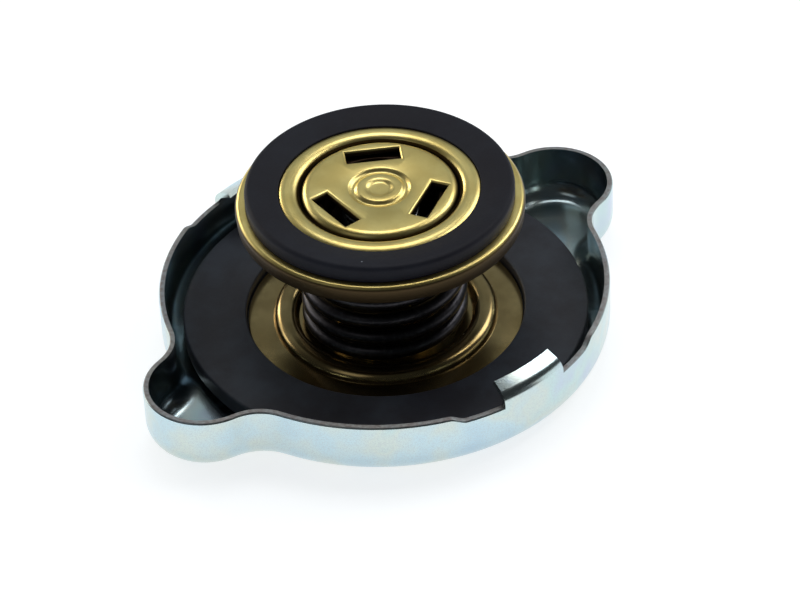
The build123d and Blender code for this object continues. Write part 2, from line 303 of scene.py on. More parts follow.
CHAMBER_TOP = 18.1
LEMON, OLIVE = (0.93, 0.76, 0.29), (0.76, 0.58, 0.19)
DARK_LEMON, DARK_OLIVE = (0.43, 0.32, 0.14), (0.28, 0.20, 0.08)
valve_look = {"tarnish": 0.8, "satin": 0.24, "texture_mm": 0.006}
bell_look = {"tarnish": 0.9, "satin": 0.15, "texture_mm": 0.002}
valve_brass = pressed_brass("valve_brass", LEMON, OLIVE, **valve_look, shade_slope=0.7)
chamber_brass = pressed_brass(
    "chamber_brass", LEMON, OLIVE, **valve_look, shade_slope=0.65, shaded_below=CHAMBER_TOP
)
bell_brass = pressed_brass("bell_brass", DARK_LEMON, DARK_OLIVE, **bell_look, shade_slope=-0.8)
print(valve_brass.name, chamber_brass.name, bell_brass.name)

# %% [markdown]
# Moulded rubber is nearly black, and what one sees is its sheen, broken up by handling marks and by a few
# specks of dust. The colour is kept low and the sheen is varied through the roughness.

# %% Moulded rubber
CLEAN_RUBBER = (0.009, 0.008, 0.013)
HANDLED_RUBBER = (0.024, 0.029, 0.040)
DUST = (0.30, 0.32, 0.36)


def moulded_rubber(name, haze, gloss):
    finish = Finish(name, Specular_IOR_Level=gloss)
    handled = finish.noise(7, detail=5, roughness=0.6)
    grain = finish.noise(0.30, detail=3)
    dust = finish.specks(3.4, 0.16) * finish.noise(5).above(0.58, 0.06)
    rubber = finish.mix(handled.above(0.55, 0.4) * haze, CLEAN_RUBBER, HANDLED_RUBBER)
    finish.set("Base Color", finish.mix(dust * 0.6, rubber, DUST))
    finish.set("Roughness", 0.42 + handled * 0.18 + grain * 0.10)
    finish.bump(grain + handled * 0.6, 0.010)
    return finish.material


seal_rubber = moulded_rubber("seal_rubber", haze=0.3, gloss=0.18)
gasket_rubber = moulded_rubber("gasket_rubber", haze=0.9, gloss=0.35)
print(seal_rubber.name, gasket_rubber.name)

# %% [markdown]
# The coil spring is oil-tempered wire: black, with a thin film of oil that shines in long narrow lines. The
# rivet, its washer and the light spring are plain steel, and the diaphragm is thin blued spring steel.


# %% Spring wire and plain steel
def plain_metal(name, colour, shine, grain_mm):
    finish = Finish(name, Metallic=1.0)
    grain = finish.noise(grain_mm, detail=3)
    worn = tuple(part * 1.5 for part in colour)
    finish.set("Base Color", finish.mix(grain.above(0.6, 0.3), colour, worn))
    finish.set("Roughness", shine + grain * 0.15)
    finish.bump(grain, 0.005)
    return finish.material


spring_wire = plain_metal("spring_wire", (0.06, 0.058, 0.064), 0.30, 0.5)
rivet_steel = plain_metal("rivet_steel", (0.50, 0.51, 0.52), 0.30, 0.3)
disc_steel = plain_metal("disc_steel", (0.22, 0.24, 0.28), 0.25, 0.8)
print(spring_wire.name, rivet_steel.name, disc_steel.name)

# %% [markdown]
# A pressing is one sheet with the same thickness everywhere. So its section is drawn as the sheet's
# mid-line, with a bend radius at each corner, and the two surfaces lie half a sheet to each side. The cut
# ends get a small round, because a perfectly sharp edge never catches the light.

# %% Sections
NEARLY_STRAIGHT = math.radians(89.5)
SHORTEST_MITRE = 0.3
CUT_ROUND = 0.1
CUT_ROUND_STEPS = 6


def spread(start, end, count):
    """Evenly spaced values from a start to an end."""
    return [start + (end - start) * step / count for step in range(count + 1)]


def rounded(corners, steps=8):
    """Points along a path of (radius, height, bend) corners, with an arc of the bend's radius at each."""
    points = [Vector(corners[0][:2])]
    for before, corner, after in zip(corners, corners[1:], corners[2:]):
        middle, bend = Vector(corner[:2]), corner[2]
        start = (Vector(before[:2]) - middle).normalized()
        end = (Vector(after[:2]) - middle).normalized()
        half = start.angle(end) / 2
        if bend <= 0 or half > NEARLY_STRAIGHT:
            points.append(middle)
            continue
        centre = middle + (start + end).normalized() * bend / math.sin(half)
        first = middle + start * bend / math.tan(half) - centre
        last = middle + end * bend / math.tan(half) - centre
        turn = (math.pi - 2 * half) * math.copysign(1, first.x * last.y - first.y * last.x)
        for step in range(steps + 1):
            points.append(centre + Matrix.Rotation(turn * step / steps, 2) @ first)
    points.append(Vector(corners[-1][:2]))
    return points


def two_sides(path, thickness):
    """The points half a sheet to the right of a path, and those half a sheet to its left."""
    right, left = [], []
    for index, point in enumerate(path):
        ahead = (path[min(index + 1, len(path) - 1)] - point).normalized()
        behind = (point - path[max(index - 1, 0)]).normalized()
        ahead, behind = ahead if ahead.length else behind, behind if behind.length else ahead
        across = Vector((ahead.y, -ahead.x)) + Vector((behind.y, -behind.x))
        across = across.normalized()
        reach = thickness / 2 / max(across.dot(Vector((ahead.y, -ahead.x))), SHORTEST_MITRE)
        right.append(point + across * reach)
        left.append(point - across * reach)
    return right, left


def cut_end(point, direction, side, thickness):
    """Points round the sheet's cut end, from one side to the other."""
    across = (side - point).normalized() * thickness / 2
    angles = [math.pi * step / CUT_ROUND_STEPS for step in range(1, CUT_ROUND_STEPS)]
    return [point + across * math.cos(a) + direction * CUT_ROUND * math.sin(a) ** 0.5 for a in angles]


def sheet_section(corners, thickness):
    """Closed outline of a sheet along a path of (radius, height, bend) corners."""
    path = rounded(corners)
    start_direction = (path[0] - path[1]).normalized()
    end_direction = (path[-1] - path[-2]).normalized()
    path[0] = path[0] - start_direction * CUT_ROUND
    path[-1] = path[-1] - end_direction * CUT_ROUND
    right, left = two_sides(path, thickness)
    far_end = cut_end(path[-1], end_direction, right[-1], thickness)
    near_end = cut_end(path[0], start_direction, left[0], thickness)
    return right + far_end + left[::-1] + near_end


print("a flat strip's section has", len(sheet_section([(1, 0), (5, 0)], 1)), "points")

# %% [markdown]
# Each round piece is then turned: its section is copied round the axis and neighbouring copies are joined. A
# finished mesh is in metres, its faces point outwards, and edges that bend more than a set angle stay crisp.

# %% Turn a section about the axis
SAME_POINT = 1e-5
CRISP_TURNED = 50


def finished_object(name, mesh_data, material, crisp_degrees):
    mesh_data.set_sharp_from_angle(angle=math.radians(crisp_degrees))
    made = bpy.data.objects.new(name, mesh_data)
    bpy.context.scene.collection.objects.link(made)
    mesh_data.materials.clear()
    mesh_data.materials.append(material)
    return made


def join(shape, loop, following):
    """Faces between two closed loops of vertices."""
    for here in range(len(loop)):
        after = (here + 1) % len(loop)
        shape.faces.new((loop[here], loop[after], following[after], following[here]))


def mesh_from(name, shape):
    """A mesh datablock from a bmesh in millimetres, with its normals pointing outwards."""
    bmesh.ops.remove_doubles(shape, verts=shape.verts, dist=SAME_POINT)
    bmesh.ops.recalc_face_normals(shape, faces=shape.faces)
    bmesh.ops.scale(shape, vec=(MM, MM, MM), verts=shape.verts)
    for face in shape.faces:
        face.smooth = True
    data = bpy.data.meshes.new(name)
    shape.to_mesh(data)
    shape.free()
    return data


def turned(name, section, material):
    """A ring whose closed (radius, height) section is turned about the axis."""
    shape = bmesh.new()
    rings = []
    for step in range(ROUND_STEPS):
        angle = 2 * math.pi * step / ROUND_STEPS
        across, along = math.cos(angle), math.sin(angle)
        rings.append([shape.verts.new((p.x * across, p.x * along, p.y)) for p in section])
    for step, ring in enumerate(rings):
        join(shape, ring, rings[(step + 1) % ROUND_STEPS])
    return finished_object(name, mesh_from(name, shape), material, CRISP_TURNED)


def take_over(piece, node, body):
    """The piece stands for a node of the part, whose own mesh is hidden, and moves with that node's body."""
    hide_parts(node)
    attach(piece, body)
    print(piece.name, "for", node, "with", len(piece.data.polygons), "faces")


print("a ring is turned in", ROUND_STEPS, "steps")

# %% [markdown]
# The bell is a shallow brass pressing. Its flat flange lies inside the large gasket, a raised bead runs
# round it, and the spring stands in the well in the middle. The bends are soft, because the sheet was
# pressed. They can be read off the path below, one number a corner.

# %% Spring bell
RIVET_HOLE = 2.45
BELL_FLOOR = bottom_of("spring_bell") + BRASS_SHEET / 2
BELL_CREST = top_of("spring_bell") - BRASS_SHEET / 2
BEAD_HEIGHT = 1.0
BEAD_FOOT = 11.55
BEAD_SLANT = 0.3
WELL_WALL = 9.3
bell_flange = BELL_CREST - BEAD_HEIGHT
bell_corners = [
    (RIVET_HOLE, BELL_FLOOR),
    (WELL_WALL, BELL_FLOOR, 0.3),
    (WELL_WALL, BELL_CREST, 0.95),
    (BEAD_FOOT - BEAD_SLANT, BELL_CREST, 0.9),
    (BEAD_FOOT, bell_flange, 0.25),
    (outer_radius("spring_bell"), bell_flange),
]
bell = turned("bell_pressing", sheet_section(bell_corners, BRASS_SHEET), bell_brass)
take_over(bell, "spring_bell", "carrier")

# %% [markdown]
# The valve's dish is a brass disc with its rim turned down. Above it sits the flanged retainer: one sleeve
# whose upper end is rolled out over the rubber ring, and whose tube ends in the seat of the small valve.

# %% Valve dish and retainer
DISH_SHEET = 0.5
DISH_BEND = 0.28
LIP_LEAN = 0.15
TUBE_WALL = 6.0
TUBE_CLEARANCE = 0.3
dish_middle = top_of("valve_plate") - DISH_SHEET / 2
dish_wall = outer_radius("valve_plate") - DISH_SHEET / 2
dish_corners = [
    (TUBE_WALL + TUBE_CLEARANCE, dish_middle),
    (dish_wall, dish_middle, DISH_BEND),
    (dish_wall - LIP_LEAN, bottom_of("valve_plate")),
]
dish = turned("dish_pressing", sheet_section(dish_corners, DISH_SHEET), valve_brass)
take_over(dish, "valve_plate", "pressure_valve")

SEAT_HOLE = 4.0
SLEEVE_WALL = 8.3
SLEEVE_BEND = 0.25
FLANGE_CREST = 9.72
FLANGE_EDGE = 10.25
FLANGE_FALL = 0.19
seat_height = bottom_of("seal_retainer") + BRASS_SHEET / 2
sleeve_floor = top_of("valve_plate") + BRASS_SHEET / 2
flange_top = top_of("seal_retainer") - BRASS_SHEET / 2
retainer_corners = [
    (SEAT_HOLE, seat_height),
    (TUBE_WALL, seat_height, SLEEVE_BEND),
    (TUBE_WALL, sleeve_floor, SLEEVE_BEND),
    (SLEEVE_WALL, sleeve_floor, SLEEVE_BEND),
    (SLEEVE_WALL, flange_top, 0.98),
    (FLANGE_CREST, flange_top, 1.2),
    (FLANGE_EDGE, flange_top - FLANGE_FALL),
]
retainer = turned("retainer_pressing", sheet_section(retainer_corners, BRASS_SHEET), chamber_brass)
take_over(retainer, "seal_retainer", "pressure_valve")

# %% [markdown]
# The two rubber rings are moulded, so their sections are solid, with small rounds on the corners that show.
# The upper ring's face falls a little towards the brass, where the retainer squeezes it.


# %% Rubber rings
def ring_section(corners):
    """Closed section from (radius, height, round) corners."""
    middle = [(a + b) / 2 for a, b in zip(corners[0][:2], corners[-1][:2])]
    return rounded([middle, *corners, middle], steps=6)[:-1]


SEAL_HOLE = 9.3
SEAL_MOUTH = 10.35
SEAL_SHOULDER = 1.2
SEAL_DIP = 0.5
SEAL_STEP = 0.97
SEAL_TONGUE = 0.9
seal_radius = outer_radius("pressure_seal")
seal_bottom, seal_top = bottom_of("pressure_seal"), top_of("pressure_seal")
seal_corners = [
    (SEAL_HOLE, seal_bottom, 0),
    (seal_radius, seal_bottom, 0.1),
    (seal_radius, seal_top, 0.5),
    (seal_radius - SEAL_SHOULDER, seal_top, 5.5),
    (SEAL_MOUTH, seal_top - SEAL_DIP, 0.06),
    (SEAL_MOUTH, seal_top - SEAL_STEP, 0),
    (SEAL_HOLE, seal_top - SEAL_TONGUE, 0),
]
seal = turned("seal_ring", ring_section(seal_corners), seal_rubber)
take_over(seal, "pressure_seal", "pressure_valve")

GASKET_HOLE = 14.5
GASKET_TONGUE = 1.3
GASKET_EDGE = 0.25
gasket_radius = outer_radius("main_gasket")
gasket_bottom, gasket_top = bottom_of("main_gasket"), top_of("main_gasket")
gasket_corners = [
    (GASKET_HOLE - GASKET_TONGUE, gasket_bottom, 0),
    (gasket_radius, gasket_bottom, 0.1),
    (gasket_radius, gasket_top, GASKET_EDGE),
    (GASKET_HOLE, gasket_top, GASKET_EDGE),
    (GASKET_HOLE, gasket_bottom + BRASS_SHEET, 0),
    (GASKET_HOLE - GASKET_TONGUE, gasket_bottom + BRASS_SHEET, 0),
]
gasket = turned("gasket_ring", ring_section(gasket_corners), gasket_rubber)
take_over(gasket, "main_gasket", "carrier")

# %% [markdown]
# The shell is drawn from one steel blank: a round cup with two ears, so it can't be turned. Its outline is a
# chain of arcs, and a point a distance inwards from it is found on the same arc with another radius. That
# gives stations round the outline. The sheet's section is repeated at each, as round a turned piece.

# %% The shell's outline
SHELL_RADIUS = 23.4
EAR_CENTRE = 23.9
EAR_RADIUS = 6.3
EAR_BLEND = 4.5
RELIEF_WIDTH = 17.8
RELIEF_ROUND = 0.9
RELIEF_REACH = 1.2
TAB_WIDTH = 7.9
tab_half_angle = math.asin(TAB_WIDTH / 2 / SHELL_RADIUS)

blend_reach = SHELL_RADIUS + EAR_BLEND
blend_x = (blend_reach**2 - (EAR_RADIUS + EAR_BLEND) ** 2 + EAR_CENTRE**2) / (2 * EAR_CENTRE)
blend_y = math.sqrt(blend_reach**2 - blend_x**2)
body_start = math.atan2(blend_y, blend_x)
ear_end = math.atan2(blend_y, blend_x - EAR_CENTRE)


def body_angles():
    """Angles of the stations on the round body, closer together where the rim is cut lower."""
    quarter = math.pi / 2
    side = quarter - tab_half_angle
    relief = []
    for share in spread(RELIEF_REACH, -RELIEF_REACH, 12):
        across = RELIEF_WIDTH / 2 + RELIEF_ROUND * share
        relief.append(quarter - math.asin(across / SHELL_RADIUS))
    rising = spread(body_start, relief[0], 24)[1:-1] + relief + spread(relief[-1], side, 8)[1:]
    angles = rising + spread(side, quarter, 12)[1:]
    return angles + [math.pi - angle for angle in angles[-2::-1]]


def half_outline():
    """Stations round one ear and along one side of the body, as (centre, radius, bend, angle)."""
    blend_angles = spread(math.pi + ear_end, math.pi + body_start, 14)[1:]
    far_blend_angles = spread(body_start, ear_end, 14)[:-1]
    ear = [((EAR_CENTRE, 0), EAR_RADIUS, 1, angle) for angle in spread(-ear_end, ear_end, 40)]
    blend = [((blend_x, blend_y), EAR_BLEND, -1, angle) for angle in blend_angles]
    body = [((0, 0), SHELL_RADIUS, 1, angle) for angle in body_angles()]
    far_blend = [((-blend_x, blend_y), EAR_BLEND, -1, -angle) for angle in far_blend_angles]
    return ear + blend + body + far_blend


def station_point(station, inwards, height):
    (x, y), radius, bend, angle = station
    reach = radius - bend * inwards
    return Vector((x + reach * math.cos(angle), y + reach * math.sin(angle), height))


half = half_outline()
stations = half + [((-x, -y), radius, bend, angle + math.pi) for (x, y), radius, bend, angle in half]
print("stations round the shell:", len(stations))

# %% [markdown]
# The sheet's section runs from the rivet's hole over the pressed seat and the floor, round the shoulder and
# up the skirt to the rim, and back inside. Beside each tab the rim is cut lower, so that the tab could be
# bent in without tearing. The rim's height therefore depends on the station.

# %% The shell's section
SHELL_SHEET = 0.6
SHOULDER = 2.8
RIM_ROUND = 0.25
RELIEF_DEPTH = 0.7
PRESSED_SEAT = 1.2
SEAT_EDGE = 10.6
SEAT_FOOT = 11.6
SEAT_BEND = 0.8
FLOOR_START = 12.6
ON_THE_EDGE = 1e-6
floor_corners = [
    (RIVET_HOLE, PRESSED_SEAT),
    (SEAT_EDGE, PRESSED_SEAT, SEAT_BEND),
    (SEAT_FOOT, SHELL_SHEET / 2, SEAT_BEND),
    (FLOOR_START, SHELL_SHEET / 2),
]
floor_lower, floor_upper = two_sides(rounded(floor_corners), SHELL_SHEET)


def rim_height(station):
    """The skirt's full height, or less beside a tab, with a soft step between the two."""
    place = station_point(station, 0, 0)
    step = (abs(place.x) - RELIEF_WIDTH / 2) / (2 * RELIEF_ROUND) + 0.5
    step = min(max(step, 0), 1)
    full = step * step * (3 - 2 * step)
    on_body = station[1] == SHELL_RADIUS
    return SKIRT_HEIGHT - RELIEF_DEPTH * (1 - full) * on_body


def on_tab(station):
    place = station_point(station, 0, 0)
    return station[1] == SHELL_RADIUS and abs(place.x) < TAB_WIDTH / 2 + ON_THE_EDGE


def shell_section(station):
    """Points of the sheet at a station: those before the rim, the rim itself, and those after it."""
    shoulder_foot = station_point(station, SHOULDER, 0)
    outward = Vector((shoulder_foot.x, shoulder_foot.y, 0)).normalized()
    lower = [outward * p.x + Vector((0, 0, p.y)) for p in floor_lower]
    upper = [outward * p.x + Vector((0, 0, p.y)) for p in floor_upper]
    inner_bend = SHOULDER - SHELL_SHEET
    outside, inside = [], []
    for angle in spread(0, math.pi / 2, 12):
        across, down = math.sin(angle), math.cos(angle)
        outside.append(station_point(station, SHOULDER * (1 - across), SHOULDER * (1 - down)))
        inside.append(station_point(station, SHOULDER - inner_bend * across, SHOULDER - inner_bend * down))
    top = rim_height(station)
    outside.append(station_point(station, 0, top - RIM_ROUND))
    inside.append(station_point(station, SHELL_SHEET, top))
    rim = []
    for angle in spread(0, math.pi / 2, 5)[1:]:
        inwards = RIM_ROUND * (1 - math.cos(angle))
        rim.append(station_point(station, inwards, top - RIM_ROUND * (1 - math.sin(angle))))
    return lower + outside, rim, inside[::-1] + upper[::-1]


print("points in one section:", sum(len(points) for points in shell_section(stations[0])))

# %% [markdown]
# At a tab the section doesn't stop at the rim: it goes on up, over the bend and inwards, still climbing. A
# tab's two sides are closed by faces across the sheet. A narrow Bevel modifier takes the last sharpness off.

# %% The shell itself
TAB_RISE = 0.3
TAB_CLIMB = 0.85
TAB_LENGTH = 2.15
TAB_BEND = 1.2
CRISP_SHELL = 40
SOFT_EDGE = 0.05
tab_bend_height = SKIRT_HEIGHT + TAB_RISE
tab_corners = [
    (SHELL_SHEET / 2, SKIRT_HEIGHT - RELIEF_DEPTH),
    (SHELL_SHEET / 2, tab_bend_height, TAB_BEND),
    (TAB_LENGTH, tab_bend_height + TAB_CLIMB),
]
tab_inner, tab_outer = two_sides(rounded(tab_corners, steps=12), SHELL_SHEET)


def new_section(shape, station):
    """The vertices of a station's section: before the rim, rim, after it, and the tab's two sides or None."""
    before, rim, after = ([shape.verts.new(p) for p in points] for points in shell_section(station))
    if not on_tab(station):
        return before, rim, after, None
    outer = [shape.verts.new(station_point(station, p.x, p.y)) for p in tab_outer]
    inner = [shape.verts.new(station_point(station, p.x, p.y)) for p in tab_inner[1:]]
    return before, rim, after, (outer, inner)


def close_tab_side(shape, section):
    before, rim, after, (outer, inner) = section
    shape.faces.new([before[-1], outer[0], outer[1], inner[0], after[0], *rim[::-1]])
    for low in range(1, len(outer) - 1):
        shape.faces.new((outer[low], outer[low + 1], inner[low], inner[low - 1]))


def whole_loop(section, with_tab):
    before, rim, after, tab = section
    edge = tab[0] + tab[1][::-1] if with_tab else rim
    return before + edge + after


def build_shell():
    shape = bmesh.new()
    sections = [new_section(shape, station) for station in stations]
    for section, following in zip(sections, sections[1:] + sections[:1]):
        has_tab, next_has_tab = bool(section[3]), bool(following[3])
        with_tab = has_tab and next_has_tab
        join(shape, whole_loop(section, with_tab), whole_loop(following, with_tab))
        if has_tab != next_has_tab:
            close_tab_side(shape, section if has_tab else following)
    return shape


shell = finished_object("shell_pressing", mesh_from("shell_pressing", build_shell()), zinc, CRISP_SHELL)
soften = shell.modifiers.new("soft_edges", "BEVEL")
soften.width = SOFT_EDGE * MM
soften.segments = 2
soften.limit_method = "ANGLE"
soften.angle_limit = math.radians(50)
take_over(shell, "cap_shell", "shell")

# %% [markdown]
# A coil spring follows a rule: the wire turns at a constant radius, climbs slowly through its closed end
# turns and faster through its open ones. Geometry Nodes can say that directly. A line is resampled, each
# point is moved onto the helix, a round wire is drawn along it, and the two ends are ground flat by clamping
# the height. Two small helpers start and end the tree, because this file makes a second one later.

# %% Geometry Nodes: a compression spring
HELIX_POINTS = 900
WIRE_SIDES = 20


def new_tree(name, names_and_kinds):
    """A tree that makes one mesh, as a recipe, and a value for each of its named inputs."""
    tree = bpy.data.node_groups.new(name, "GeometryNodeTree")
    tree.interface.new_socket("Geometry", in_out="OUTPUT", socket_type="NodeSocketGeometry")
    for title, kind in names_and_kinds:
        tree.interface.new_socket(title, in_out="INPUT", socket_type=f"NodeSocket{kind}")
    recipe = Recipe(tree)
    group = tree.nodes.new("NodeGroupInput")
    return recipe, [Value(recipe, socket) for socket in group.outputs[: len(names_and_kinds)]]


def end_tree(recipe, geometry, material):
    """Shades it smooth, makes it real, because the export drops instances, and gives it its material."""
    smooth = recipe.node("GeometryNodeSetShadeSmooth", inputs={"Geometry": geometry, "Shade Smooth": True})
    real = recipe.node("GeometryNodeRealizeInstances", inputs={"Geometry": smooth})
    coated = recipe.node("GeometryNodeSetMaterial", inputs={"Geometry": real, "Material": material})
    output = recipe.tree.nodes.new("NodeGroupOutput")
    recipe.tree.links.new(coated.socket, output.inputs[0])
    return recipe.tree


def spring_tree():
    sizes = ["Coil radius", "Wire", "Bottom", "Top", "Open turns", "Closed pitch", "Grinding"]
    sockets = [(title, "Float") for title in sizes] + [("Material", "Material")]
    recipe, values = new_tree("compression_spring", sockets)
    radius, wire, bottom, top, turns, closed, grinding, material = values
    inset = wire / 2 - grinding
    lowest = bottom + inset
    open_height = top - inset - lowest - 2 * closed
    line = recipe.node("GeometryNodeCurvePrimitiveLine")
    settings, inputs = {"mode": "COUNT"}, {"Curve": line, "Count": HELIX_POINTS}
    finer = recipe.node("GeometryNodeResampleCurve", settings, inputs)
    share = recipe.node("GeometryNodeSplineParameter")
    turn = share * (turns + 2)
    inputs = [turn - 1, 0.0, turns, 0.0, 1.0]
    climbed = recipe.node("ShaderNodeMapRange", {"clamp": True}, inputs)
    first = turn.math("MINIMUM", 1.0)
    last = (turn - turns - 1).math("MAXIMUM", 0.0)
    height = lowest + (first + last) * closed + climbed * open_height
    angle = turn * (2 * math.pi)
    x, y = radius * angle.math("COSINE"), radius * angle.math("SINE")
    place = recipe.node("ShaderNodeCombineXYZ", inputs=[x, y, height])
    helix = recipe.node("GeometryNodeSetPosition", inputs={"Geometry": finer, "Position": place})
    settings, inputs = {"mode": "RADIUS"}, {"Resolution": WIRE_SIDES, "Radius": wire / 2}
    profile = recipe.node("GeometryNodeCurvePrimitiveCircle", settings, inputs)
    inputs = {"Curve": helix, "Profile Curve": profile, "Fill Caps": True}
    drawn = recipe.node("GeometryNodeCurveToMesh", inputs=inputs)
    drawn_x, drawn_y, drawn_z = recipe.axes(recipe.node("GeometryNodeInputPosition"))
    flat = drawn_z.math("MAXIMUM", bottom).math("MINIMUM", top)
    ground = recipe.node("ShaderNodeCombineXYZ", inputs=[drawn_x, drawn_y, flat])
    cut = recipe.node("GeometryNodeSetPosition", inputs={"Geometry": drawn, "Position": ground})
    return end_tree(recipe, cut, material)


def grown(name, tree, inputs, start=None):
    """The plain mesh that a tree makes with these inputs, from an empty mesh or from one that is given."""
    seed = bpy.data.objects.new(name + "_seed", start or bpy.data.meshes.new(name + "_seed"))
    bpy.context.scene.collection.objects.link(seed)
    modifier = seed.modifiers.new("tree", "NODES")
    modifier.node_group = tree
    identifiers = {s.name: s.identifier for s in tree.interface.items_tree if s.in_out == "INPUT"}
    for key, value in inputs.items():
        modifier[identifiers[key]] = value
    evaluated = seed.evaluated_get(bpy.context.evaluated_depsgraph_get())
    data = bpy.data.meshes.new_from_object(evaluated)
    data.name = name
    bpy.data.objects.remove(seed)
    return data


spring_nodes = spring_tree()
print("the spring's tree has", len(spring_nodes.nodes), "nodes")

# %% [markdown]
# The same tree makes both springs: the strong one round the sleeve, and the light one that closes the small
# valve. When a valve moves, its spring shortens, but each spring here is made at the length of its node.

# %% Both springs
WIRE = 1.5
COIL_OUTSIDE = 8.65
LIFT = 4.0
LIGHT_WIRE = 0.4
LIGHT_COIL_OUTSIDE = 4.0
OPENING = 1.2
pressure_inputs = {
    "Coil radius": (COIL_OUTSIDE - WIRE / 2) * MM,
    "Wire": WIRE * MM,
    "Bottom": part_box("pressure_spring")[0].z,
    "Top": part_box("pressure_spring")[1].z,
    "Open turns": 4.7,
    "Closed pitch": (WIRE + 0.05) * MM,
    "Grinding": 0.3 * WIRE * MM,
    "Material": spring_wire,
}
vacuum_inputs = {
    "Coil radius": (LIGHT_COIL_OUTSIDE - LIGHT_WIRE / 2) * MM,
    "Wire": LIGHT_WIRE * MM,
    "Bottom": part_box("vacuum_spring")[0].z,
    "Top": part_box("vacuum_spring")[1].z,
    "Open turns": 2.5,
    "Closed pitch": (LIGHT_WIRE + 0.02) * MM,
    "Grinding": 0.0,
    "Material": rivet_steel,
}
springs = [
    ("pressure_coil", pressure_inputs, "pressure_spring", "carrier", "pressure_lift", False, LIFT),
    ("vacuum_coil", vacuum_inputs, "vacuum_spring", "pressure_valve", "vacuum_open", True, OPENING),
]
for name, inputs, node, body, joint, fixed_at_top, travel in springs:
    coil = finished_object(name, grown(name, spring_nodes, inputs), inputs["Material"], CRISP_TURNED)
    take_over(coil, node, body)
    low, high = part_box(node)
    length = high.z - low.z
    1 - travel * MM / length
    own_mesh(coil)

# %% [markdown]
# The cage is the small cup pressed into the middle of the valve. Its top has a round boss inside a groove,
# and three slots that let the coolant back in. The cup is turned whole and the slots are cut out afterwards,
# which keeps the plate between them truly flat. A flat face shows every dent in its shading. The section
# stops just short of the axis, so that what is turned stays a ring.

# %% The cage's section
CAGE_TOP = top_of("vacuum_cage")
CAGE_RADIUS = outer_radius("vacuum_cage")
CAGE_SHEET = 0.6
CAGE_ROUND_WIDTH = 1.0
CAGE_ROUND_HEIGHT = 0.85
CAGE_INNER_ROUND = 0.2
NEAR_AXIS = 0.02
BOSS_RADIUS = 3.2
BOSS_UNDERSIDE = 0.4
GROOVE_RADIUS = 2.75
GROOVE_HALF_WIDTH = 0.6
GROOVE_DEPTH = 0.30
DIMPLE_RADIUS = 1.6
DIMPLE_SIDE = 0.7
DIMPLE_FALL = 0.22
DIMPLE_DEPTH = 0.2


def cage_inside():
    """The cup's inner face and wall, from the axis outwards and down to the cup's lower edge."""
    plate_bottom = CAGE_TOP - CAGE_SHEET
    boss_bottom = plate_bottom - BOSS_UNDERSIDE
    inner = CAGE_RADIUS - CAGE_SHEET
    bottom = bottom_of("vacuum_cage")
    return [
        (NEAR_AXIS, boss_bottom),
        (BOSS_RADIUS, boss_bottom),
        (BOSS_RADIUS, plate_bottom),
        (inner - CAGE_INNER_ROUND, plate_bottom),
        (inner, plate_bottom - CAGE_INNER_ROUND),
        (inner, bottom),
        (CAGE_RADIUS, bottom),
    ]


def cage_section():
    points = cage_inside()
    for angle in spread(0, math.pi / 2, 12):
        radius = CAGE_RADIUS - CAGE_ROUND_WIDTH * (1 - math.cos(angle))
        points.append((radius, CAGE_TOP - CAGE_ROUND_HEIGHT * (1 - math.sin(angle))))
    for share in spread(1, -1, 10):
        depth = GROOVE_DEPTH * math.cos(math.pi * share / 2) ** 2
        points.append((GROOVE_RADIUS + GROOVE_HALF_WIDTH * share, CAGE_TOP - depth))
    for share in spread(0, 1, 8):
        depth = DIMPLE_FALL * (1 - math.cos(math.pi * share)) / 2
        points.append((DIMPLE_RADIUS - DIMPLE_SIDE * share, CAGE_TOP - depth))
    points.append((NEAR_AXIS, CAGE_TOP - DIMPLE_DEPTH))
    return [Vector(point) for point in points]


print("points in the cage's section:", len(cage_section()))

# %% [markdown]
# Three cutters then take out the slots. Each is a straight-sided block that flares at the top, which rounds
# the slot's upper edge over as a punch does. The cut is made once, and its result becomes the cage's mesh.

# %% Cut the slots
SLOT_TURN = 56.3
SLOT_RADIUS = 5.5
SLOT_LENGTH = 5.5
SLOT_WIDTH = 1.7
SLOT_ROUND = 0.42
CUTTER_ABOVE = 0.5
CRISP_CAGE = 30


def slot_cutter(angle):
    shape = bmesh.new()
    levels = [(CAGE_TOP + CUTTER_ABOVE, SLOT_ROUND)]
    for lean in spread(math.pi / 2, 0, 8):
        depth = SLOT_ROUND * (1 - math.sin(lean))
        levels.append((CAGE_TOP - depth, SLOT_ROUND * (1 - math.cos(lean))))
    levels.append((CAGE_TOP - 2 * CAGE_SHEET, 0))
    loops = []
    for height, wider in levels:
        x, y = SLOT_WIDTH / 2 + wider, SLOT_LENGTH / 2 + wider
        corners = [(-x, -y), (x, -y), (x, y), (-x, y)]
        loops.append([shape.verts.new((SLOT_RADIUS + across, along, height)) for across, along in corners])
    for upper, lower in zip(loops, loops[1:]):
        join(shape, upper, lower)
    shape.faces.new(loops[0])
    shape.faces.new(loops[-1])
    bmesh.ops.rotate(shape, matrix=Matrix.Rotation(angle, 3, "Z"), verts=shape.verts)
    return finished_object("slot_cutter", mesh_from("slot_cutter", shape), chamber_brass, CRISP_TURNED)


def cut_slots(body):
    cutters = [slot_cutter(math.radians(SLOT_TURN + 120 * slot)) for slot in range(3)]
    for cutter in cutters:
        cut = body.modifiers.new("slot", "BOOLEAN")
        cut.operation = "DIFFERENCE"
        cut.solver = "EXACT"
        cut.object = cutter
    evaluated = body.evaluated_get(bpy.context.evaluated_depsgraph_get())
    data = bpy.data.meshes.new_from_object(evaluated)
    data.name = "cage_pressing"
    for used in [body, *cutters]:
        bpy.data.objects.remove(used)
    return data


cage_body = turned("cage_body", cage_section(), chamber_brass)
cage = finished_object("cage_pressing", cut_slots(cage_body), chamber_brass, CRISP_CAGE)
take_over(cage, "vacuum_cage", "pressure_valve")

# %% [markdown]
# The other small pieces have the right shape in the part already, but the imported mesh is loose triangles,
# which would render as flat facets. A second tree welds a copy and decides which edges stay crisp.


